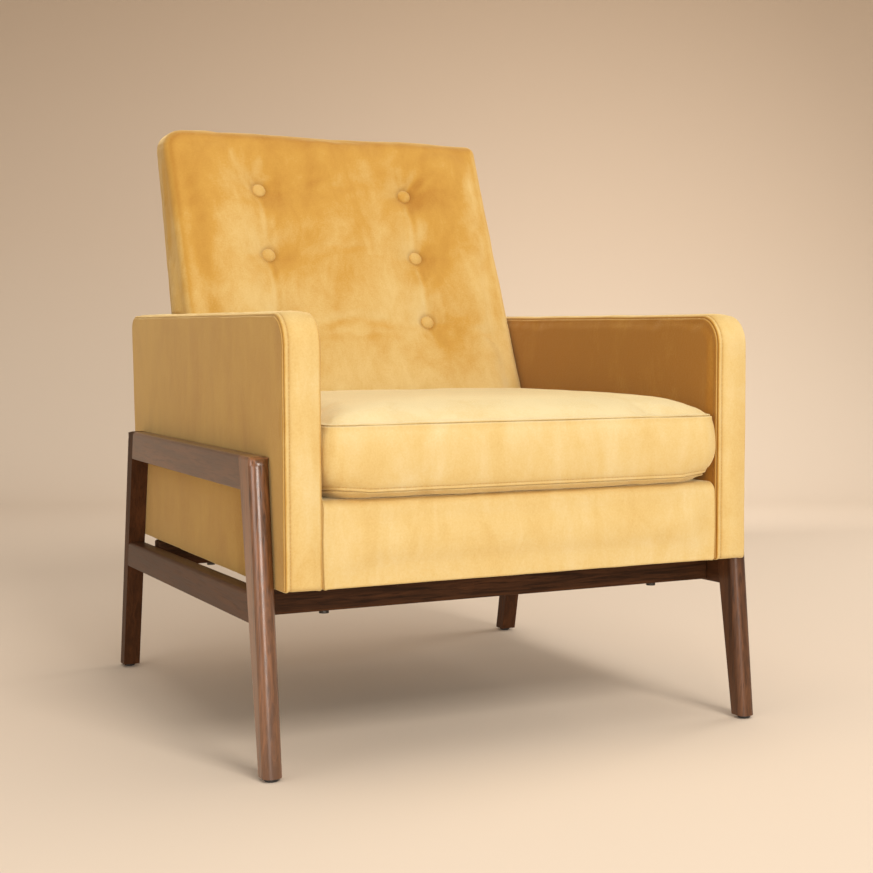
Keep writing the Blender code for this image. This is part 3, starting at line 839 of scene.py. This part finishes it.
def makeDeck(plan):
    low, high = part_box("deck_cover")
    inset, rear = plan["inset"], high.y - frontY - 0.004
    corners = [(inset, low.z, plan["bottomRound"]), (inset, high.z - inset, plan["topRound"]),
               (rear, high.z - inset, 0), (rear - plan["rearCut"], low.z, 0)]
    shape, seams, stitches = sewnSlab(corners, low.x + inset, high.x - inset, plan, 6)
    mesh = swell(shape, plan)
    relief(mesh, seams, None, plan)
    unevenness(mesh, *plan["uneven"], 8)
    coords = coordsOf(mesh)
    reach = plan["bowDepth"]
    bow = plan["bow"] * np.clip((reach - (coords[:, 1] - frontY)) / reach, 0, 1)
    middle = 1 - np.clip(np.abs(coords[:, 2] - (low.z + high.z) / 2) / plan["bowHeight"], 0, 1) ** 2
    coords[:, 0] *= 1 + bow * middle / high.x
    coords[:, 0] = np.clip(coords[:, 0], low.x - bow, high.x + bow)
    coords[:, 2] = np.clip(coords[:, 2], low.z - 0.0004, high.z + 0.0002)
    setCoords(mesh, coords)
    layNapAndPaintedLight(mesh, *plan["napAndLight"])
    deck = finishPiece(mesh, "deckVelvet", velvet, chair, 0)
    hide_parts("deck_cover", "deck_foam")


makeDeck(border)
print("deck made")

back = {
    "voxel": 0.006,
    "pressure": 3.0,
    "cap": 0.012,
    "tension": 14,
    "bending": 0.5,
    "shrink": -0.004,
    "pullIn": 0.2,
    "inset": 0.001,
    "edge": 0.016,
    "topRound": (0.034, 0.014),
    "pitch": 0.0065,
    "recline": 0.435,
    "deckHeight": 0.335,
    "deckDepth": 0.4832,
    "rearDepth": 0.6384,
    "rearLean": 0.274,
    "low": 0.2305,
    "buttonAcross": 0.1305,
    "buttonDrop": 0.0925,
    "buttonPitch": 0.1085,
    "buttonSink": 0.0200,
    "sinkWidth": 0.034,
    "ringShade": 0.8,           # painted shade in the fold round each button
    "stitch": 0.006,
    "welt": 0.0006,
    "groove": 0.0014,
    "grooveWidth": 0.0022,
    "uneven": (0.0006, 0.06),
    # pile lightness by facing, with painted light: the back is set deeper than the seat and the fronts
    "napAndLight": (0.44, 0.38, 0.36, 0.36),
    "slopeLightTurn": 0.42,            # how much painted highlight and shade a slope in the front gets
}


def backPlane(plan):
    # from the chair's frame to one where the back's front face is flat and upright
    hinge = Matrix.Translation((0, frontY + plan["deckDepth"], plan["deckHeight"]))
    return Matrix.Rotation(math.atan(plan["recline"]), 4, "X") @ hinge.inverted()


def buttonSpots(plan, top):
    spots = []
    for row in range(3):
        height = top - plan["buttonDrop"] - plan["buttonPitch"] * row
        depth = plan["deckDepth"] + plan["recline"] * (height - plan["deckHeight"])
        for sideName, side in sides.items():
            spots.append((sideName, row, Vector((side * plan["buttonAcross"], frontY + depth, height))))
    return spots


def makeBack(plan):
    low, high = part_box("back_cover")
    inset = plan["inset"]
    flat = backPlane(plan)

    def front(height):
        return plan["deckDepth"] + plan["recline"] * (height - plan["deckHeight"]) + inset

    def rear(height):
        return plan["rearDepth"] + plan["rearLean"] * (height - plan["deckHeight"]) - inset

    top = high.z - inset
    corners = [(front(plan["low"]), plan["low"], 0), (front(top), top, 0),
               (rear(top), top, 0), (rear(plan["low"]), plan["low"], 0)]
    left, right = low.x + inset, high.x - inset
    shape = slab(corners, left, right)
    for across, radius in zip((left, right), plan["topRound"]):
        upper = [edge for edge in shape.edges
                 if all(vert.co.z > top - 1e-4 and abs(vert.co.x - across) < 1e-4 for vert in edge.verts)]
        bevel(shape, upper, radius, 5)
    wrapped = [edge for edge in shape.edges if edge.calc_face_angle(0) > 0.9
               and max(vert.co.z for vert in edge.verts) > plan["low"] + 0.001]
    bevel(shape, wrapped, plan["edge"], 5)
    bmesh.ops.transform(shape, matrix=flat, verts=shape.verts[:])
    spots = [flat @ spot for sideName, row, spot in buttonSpots(plan, high.z)]
    for axis in (0, 1, 2):
        places = [vert.co[axis] for vert in shape.verts]
        cutAlong(shape, axis, span(min(places), max(places), plan["pitch"], 0.020))

    def nearButton(coords):
        return np.min([np.hypot(coords[:, 0] - spot.x, coords[:, 2] - spot.z) for spot in spots], axis=0)

    def onFront(coords):
        return coords[:, 1] < 0.02

    def sink(coords):
        depth = plan["buttonSink"] * np.exp(-(nearButton(coords) / plan["sinkWidth"]) ** 1.3)
        moved = np.zeros_like(coords)
        moved[:, 1] = np.where(onFront(coords), depth, 0)
        return moved

    def held(coords):
        return np.nonzero((nearButton(coords) < 0.0095) & onFront(coords))[0]

    def pullIn(coords):
        near = np.exp(-(nearButton(coords) / 0.055) ** 2) * onFront(coords)
        return plan["pullIn"] + (1 - plan["pullIn"]) * near

    mesh = swell(shape, plan, sink, held, pullIn)
    pullCreases(mesh, spots)
    flatRest = restOf(mesh)
    # a ring of painted shade in the fold round each button, added to the painted seam shade
    ring = np.exp(-((nearButton(flatRest) - 0.0115) / 0.0045) ** 2) * onFront(flatRest) * plan["ringShade"]
    mesh.transform(flat.inverted())
    restCoords = np.array([flat.inverted() @ Vector(point) for point in restOf(mesh)], dtype=np.float32)
    mesh.attributes["rest"].data.foreach_set("vector", restCoords.ravel())
    rearSeam = [[(side * (right - 0.006), frontY + rear(height) - 0.002, height)
                 for height in np.linspace(plan["low"], top - 0.008, 60)] for side in (-1, 1)]
    rearSeam.append([(across, frontY + rear(top) - 0.004, top - 0.002)
                     for across in np.linspace(left + 0.010, right - 0.010, 60)])
    relief(mesh, [dense(path) for path in rearSeam], None, plan)
    shade = mesh.attributes["seamShade"].data
    for index, value in enumerate(ring):
        shade[index].value = max(shade[index].value, value)
    unevenness(mesh, *plan["uneven"], 5)
    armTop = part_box("left_arm_cover")[1].z
    coords = coordsOf(mesh)
    squeezed = np.clip(coords[:, 0], low.x - 0.0004, high.x + 0.0004)
    coords[:, 0] = np.where(coords[:, 2] < armTop + 0.004, squeezed, coords[:, 0])
    setCoords(mesh, coords)
    napAndLight = layNapAndPaintedLight(mesh, *plan["napAndLight"])
    # painted shade darker towards the top of the back, and painted highlight and shade on the slopes round
    # the buttons and creases, where light and sheen fall
    height = (coordsOf(mesh)[:, 2] - armTop) / (high.z - armTop)
    normals = normalsOf(mesh)
    outward = np.array(Vector((0, -1, plan["recline"])).normalized())
    upwards = np.array(Vector((0, plan["recline"], 1)).normalized())
    onFace = np.clip((normals @ outward - 0.75) / 0.15, 0, 1)
    paintedSlopeLight = (normals[:, 0] * 0.75 - normals @ upwards * 0.65) * plan["slopeLightTurn"] * onFace
    napAndLight = napAndLight + 0.12 - 0.20 * height + np.clip(paintedSlopeLight, -0.30, 0.34)
    mesh.attributes["napLay"].data.foreach_set("value", napAndLight.astype(np.float32))
    made = finishPiece(mesh, "backVelvet", velvet, chair, 0)
    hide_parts("back_cover", "back_foam")
    return made


def pullCreases(mesh, spots):
    # folds that run between and away from the buttons, in the back's own flat frame
    coords, normals, rest = coordsOf(mesh), normalsOf(mesh), restOf(mesh)
    folds = []
    for index, spot in enumerate(spots):
        side = -1 if spot.x < 0 else 1
        row = index // 2
        if row < 2:
            folds.append((spot, spots[index + 2], 0.0009, 0.0))
        if row == 0:
            folds.append((spot, spot + Vector((side * 0.050, 0, 0.058)), 0.0017, 1.0))
            folds.append((spot, spot + Vector((side * 0.026, 0, 0.066)), 0.0008, 1.0))
        folds.append((spot, spot + Vector((side * 0.075, 0, 0.012 - 0.02 * row)), 0.0005, 1.0))
        folds.append((spot, spot + Vector((-side * 0.070, 0, -0.016)), 0.0005, 1.0))
        if row == 2:
            folds.append((spot, spot + Vector((side * 0.014, 0, -0.085)), 0.0010, 1.0))
    push = np.zeros(len(coords))
    facing = (rest[:, 1] < 0.02)
    for start, end, depth, fade in folds:
        line = np.array([end.x - start.x, end.z - start.z])
        length = np.linalg.norm(line)
        line /= length
        offset = np.stack([rest[:, 0] - start.x, rest[:, 2] - start.z], axis=1)
        along = offset @ line / length
        across = offset[:, 0] * line[1] - offset[:, 1] * line[0]
        width = 0.0045 + 0.006 * np.clip(along, 0, 1) * fade
        reach = np.clip((along - 0.06) / 0.16, 0, 1) * np.clip((1.02 - along) / 0.35, 0, 1)
        valley = np.exp(-(across / width) ** 2)
        ridge = np.exp(-((np.abs(across) - width * 1.9) / width) ** 2)
        push += facing * reach * depth * (0.6 * ridge - valley)
    setCoords(mesh, coords + normals * push[:, None])


backPiece = makeBack(back)
print("back made")


# the buttons' pile lightness is by facing too, with painted light and sheen
buttonPlan = {"radius": 0.0115, "height": 0.0065, "lift": 0.0004, "napAndLight": (0.52, 0.55, 0.45, 0.45)}


def makeButtons(plan):
    surface = backPiece.data
    tree = BVHTree.FromPolygons([vert.co for vert in surface.vertices],
                                [tuple(face.vertices) for face in surface.polygons])
    outward = Vector((0, -1, back["recline"])).normalized()
    for sideName, row, spot in buttonSpots(back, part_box("back_cover")[1].z):
        base, facing, index, far = tree.ray_cast(spot + outward * 0.1, -outward)
        radius, high = plan["radius"], plan["height"]
        profile = [(0, -0.003), (radius * 0.86, -0.003), (radius * 0.97, -0.001)]
        for step in range(11):
            angle = math.pi / 2 * step / 10
            profile.append((radius * math.cos(angle), high * (0.22 + 0.78 * math.sin(angle) ** 0.8)))
        profile[-1] = (0, high)
        shape = lathe(profile, 48)
        turn = outward.to_track_quat("Z", "Y").to_matrix().to_4x4()
        bmesh.ops.transform(shape, matrix=Matrix.Translation(base + outward * plan["lift"]) @ turn,
                            verts=shape.verts[:])
        mesh = bpy.data.meshes.new("button")
        shape.to_mesh(mesh)
        shape.free()
        layNapAndPaintedLight(mesh, *plan["napAndLight"])
        button = finishPiece(mesh, f"{sideName}Button{row + 1}", velvet, chair)
        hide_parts(f"{sideName}_button_{row + 1}")


makeButtons(buttonPlan)
print("buttons made")

cushion = {
    "voxel": 0.006,
    "pressure": 4.0,
    "cap": 0.030,
    "tension": 10,
    "bending": 0.25,
    "shrink": 0.0,
    "pullIn": 0.15,
    "bottom": 0.3425,
    "top": 0.4262,
    "front": -0.007,
    "sideGap": 0.0,
    "frontCorner": 0.022,
    "rearCorner": 0.014,
    "pitch": 0.0075,
    "crown": 0.007,             # how far the boxing stands proud of its seams
    "tuck": 0.009,              # how far the lower front corners are drawn in
    "tuckReach": 0.055,
    "rings": (0.0012, 0.0025, 0.0045),
    "bandCuts": (0.0012, 0.0025, 0.0040, 0.0050, 0.0060, 0.0072),
    "stitch": 0.0055,
    "welt": 0.0010,
    "groove": 0.0017,
    "grooveWidth": 0.0014,
    "dip": 0.0008,
    "uneven": (0.0007, 0.07),
    "frontReach": 0.019,        # how far the front may swell ahead of the arms
    # pile lightness by facing, with painted light: the top is painted palest, as sheen
    "napAndLight": (0.74, 0.98, 0.60, 0.60),
}


def makeCushion(plan):
    low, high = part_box("cushion_cover")
    left, right = low.x + plan["sideGap"], high.x - plan["sideGap"]
    recline = back["recline"]
    rear = high.y - frontY - 0.018
    lean = recline * (plan["top"] - plan["bottom"])
    shape = bmesh.new()
    points = []
    for across, depth in ((left, plan["front"]), (left, rear), (right, rear), (right, plan["front"])):
        points.append(shape.verts.new((across, frontY + depth, plan["bottom"])))
    shape.faces.new(points)
    for point in points:
        bevel(shape, [point], plan["frontCorner"] if point.co.y < 0 else plan["rearCorner"], 8, "VERTICES")
    thicken(shape, (0, 0, plan["top"] - plan["bottom"]))
    panels, seams, stitches = [], [], []
    for height, inwards in ((plan["bottom"], 1), (plan["top"], -1)):
        panel, rim = rimOf(shape, 2, height)
        panels.append(panel)
        seams.append(dense(rim))
        stitches.append([(point[0], point[1], point[2] + inwards * plan["stitch"]) for point in dense(rim)])
    ringPanels(shape, panels, plan["rings"])
    cuts = plan["bandCuts"]
    cutAlong(shape, 2, [plan["bottom"] + cut for cut in cuts] + [plan["top"] - cut for cut in cuts])
    cutAlong(shape, 2, span(plan["bottom"], plan["top"], plan["pitch"], cuts[-1] + plan["pitch"]))
    cutAlong(shape, 0, span(left, right, plan["pitch"], 0.008))
    cutAlong(shape, 1, span(frontY + plan["front"], frontY + rear, plan["pitch"], 0.008))
    mesh = swell(shape, plan)
    heights = restOf(mesh)[:, 2]
    level = np.clip((2 * heights - plan["top"] - plan["bottom"]) / (plan["top"] - plan["bottom"]), -1, 1)
    normals = normalsOf(mesh)
    arch = plan["crown"] * (1 - np.abs(level) ** 2.4) ** 0.8 * np.clip(1.4 - 2 * np.abs(normals[:, 2]), 0, 1)
    setCoords(mesh, coordsOf(mesh) + normals * arch[:, None])
    rest, coords = restOf(mesh), coordsOf(mesh)
    reach = plan["tuckReach"]
    corner = (np.clip((np.abs(rest[:, 0]) - right + reach) / reach, 0, 1)
              * np.clip((frontY + plan["front"] + reach - rest[:, 1]) / reach, 0, 1)) ** 0.8
    tuck = corner * np.clip(-level, 0, 1) ** 2
    coords[:, 0] -= np.sign(rest[:, 0]) * tuck * plan["tuck"]
    coords[:, 1] += tuck * plan["tuck"]
    coords[:, 2] += tuck * plan["tuck"] * 0.6
    setCoords(mesh, coords)
    relief(mesh, seams, stitches[:1], plan)
    unevenness(mesh, *plan["uneven"], 6)
    coords = coordsOf(mesh)
    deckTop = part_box("deck_cover")[1].z
    wall = high.x + 0.0022
    backFace = frontY + back["deckDepth"] + recline * (coords[:, 2] - back["deckHeight"])
    behind = np.clip((coords[:, 1] - frontY - rear + 0.12) / 0.12, 0, 1)
    coords[:, 1] -= behind * np.clip(lean - recline * (coords[:, 2] - plan["bottom"]), 0, None)
    coords[:, 0] = np.clip(coords[:, 0], -wall, wall)
    coords[:, 1] = np.clip(coords[:, 1], frontY - plan["frontReach"], backFace - 0.001)
    roundOver = np.clip(border["topRound"] - (coords[:, 1] - frontY), 0, border["topRound"] * 0.8)
    fall = border["topRound"] - np.sqrt(border["topRound"] ** 2 - roundOver ** 2)
    coords[:, 2] = np.maximum(coords[:, 2], deckTop + 0.0006 - fall)
    setCoords(mesh, coords)
    layNapAndPaintedLight(mesh, *plan["napAndLight"])
    made = finishPiece(mesh, "seatCushionVelvet", velvet, seatCushion, 0)
    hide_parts("cushion_cover", "cushion_core")
    topstitch("seatCushionStitches", mesh, stitches[:1], seatCushion, stitchPlan)


makeCushion(cushion)
print("cushion made")

cadFinishes = {
    "dust_cover": cambric,
    "spring": zincSteel,
    "bolt": zincSteel,
    "webbing": jute,
    "foam": foamCells,
    "core": foamCells,
    "post": beech,
    "rail": beech,
}


def finishCadNodes(finishes):
    for name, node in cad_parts.items():
        for word, material in finishes.items():
            if word in name:
                node.data.materials.clear()
                node.data.materials.append(material)
                break


finishCadNodes(cadFinishes)

studio = {
    "wide": 9.0,
    "near": -9.0,
    "far": 2.6,
    "curve": 1.0,
    "tall": 4.5,
    "floorTone": rgb(0.74, 0.62, 0.50),
    "shadedWallTone": rgb(0.44, 0.33, 0.235),
}


def makeStudio(plan):
    turn = Matrix.Rotation(cameraLook["turn"], 4, "Z")
    points = [(plan["near"], 0), (plan["far"], 0)]
    for step in range(1, 17):
        angle = math.pi / 2 * step / 16
        points.append((plan["far"] + plan["curve"] * math.sin(angle), plan["curve"] * (1 - math.cos(angle))))
    points.append((plan["far"] + plan["curve"], plan["tall"]))
    shape = bmesh.new()
    verts = [shape.verts.new((-plan["wide"], depth, height)) for depth, height in points]
    edges = [shape.edges.new(pair) for pair in zip(verts, verts[1:])]
    carried = bmesh.ops.extrude_edge_only(shape, edges=edges)
    moved = [item for item in carried["geom"] if isinstance(item, bmesh.types.BMVert)]
    bmesh.ops.translate(shape, verts=moved, vec=(2 * plan["wide"], 0, 0))
    bmesh.ops.recalc_face_normals(shape, faces=shape.faces[:])
    bmesh.ops.transform(shape, matrix=turn, verts=shape.verts[:])
    mesh = bpy.data.meshes.new("studioFloor")
    shape.to_mesh(mesh)
    shape.free()
    mesh.shade_smooth()
    made = Finish("studioPaper")
    # the sweep is painted from the floor tone to a darker wall tone over its first 2 m of height: painted
    # shade for the light falling off up the wall
    height = made.add("ShaderNodeSeparateXYZ", {}, {"Vector": made.place()}, "Z")
    paintedWallShade = made.add("ShaderNodeMapRange", {}, {"Value": height, "From Min": 0.0, "From Max": 2.0})
    made.feed("Base Color", made.blend(paintedWallShade, plan["floorTone"], plan["shadedWallTone"]))
    made.fix(Roughness=0.9)
    mesh.materials.append(made.material)
    floor = bpy.data.objects.new("studioFloor", mesh)
    bpy.context.scene.collection.objects.link(floor)


makeStudio(studio)

lights = {
    "key": {"place": (0.57, -4.2, 3.7), "size": (1.5, 1.5), "power": 130, "tone": (1.0, 0.95, 0.88)},
    "top": {"place": (0.1, -0.3, 3.4), "size": (3.2, 2.6), "power": 40, "tone": (1.0, 0.95, 0.88)},
    "low": {"place": (-0.9, -4.2, 0.9), "size": (1.6, 1.4), "power": 70, "tone": (1.0, 0.96, 0.9)},
    "side": {"place": (3.2, 0.3, 1.6), "size": (1.4, 1.6), "power": 28, "tone": (1.0, 0.96, 0.9)},
    "fill": {"place": (-3.4, -1.2, 0.7), "size": (2.2, 1.0), "power": 23, "tone": (1.0, 0.96, 0.92)},
    "glow": {"place": (1.3, 1.5, 1.0), "size": (1.2, 0.8), "power": 9, "tone": (1.0, 0.95, 0.88),
             "aim": (1.8, 3.6, 0.6)},
}


def makeLights(plans):
    for name, plan in plans.items():
        data = bpy.data.lights.new(name, "AREA")
        data.shape = "RECTANGLE"
        data.size, data.size_y = plan["size"]
        data.energy = plan["power"]
        data.color = plan["tone"]
        lamp = bpy.data.objects.new(name, data)
        lamp.location = plan["place"]
        aim = Vector(plan.get("aim", (0, 0, 0.4))) - Vector(plan["place"])
        lamp.rotation_euler = aim.to_track_quat("-Z", "Y").to_euler()
        bpy.context.scene.collection.objects.link(lamp)
    world = bpy.data.worlds.new("studioAir")
    world.use_nodes = True
    tree = world.node_tree
    soft = tree.nodes["Background"]
    soft.inputs["Color"].default_value = rgb(1.0, 0.93, 0.84)
    soft.inputs["Strength"].default_value = 0.39
    seen = tree.nodes.new("ShaderNodeBackground")
    seen.inputs["Color"].default_value = studio["shadedWallTone"]
    rays = tree.nodes.new("ShaderNodeLightPath")
    either = tree.nodes.new("ShaderNodeMixShader")
    joins = ((rays.outputs["Is Camera Ray"], either.inputs[0]),
             (soft.outputs[0], either.inputs[1]),
             (seen.outputs[0], either.inputs[2]),
             (either.outputs[0], tree.nodes["World Output"].inputs["Surface"]))
    for output, entry in joins:
        tree.links.new(output, entry)
    bpy.context.scene.world = world


makeLights(lights)
print("floor and lights made")
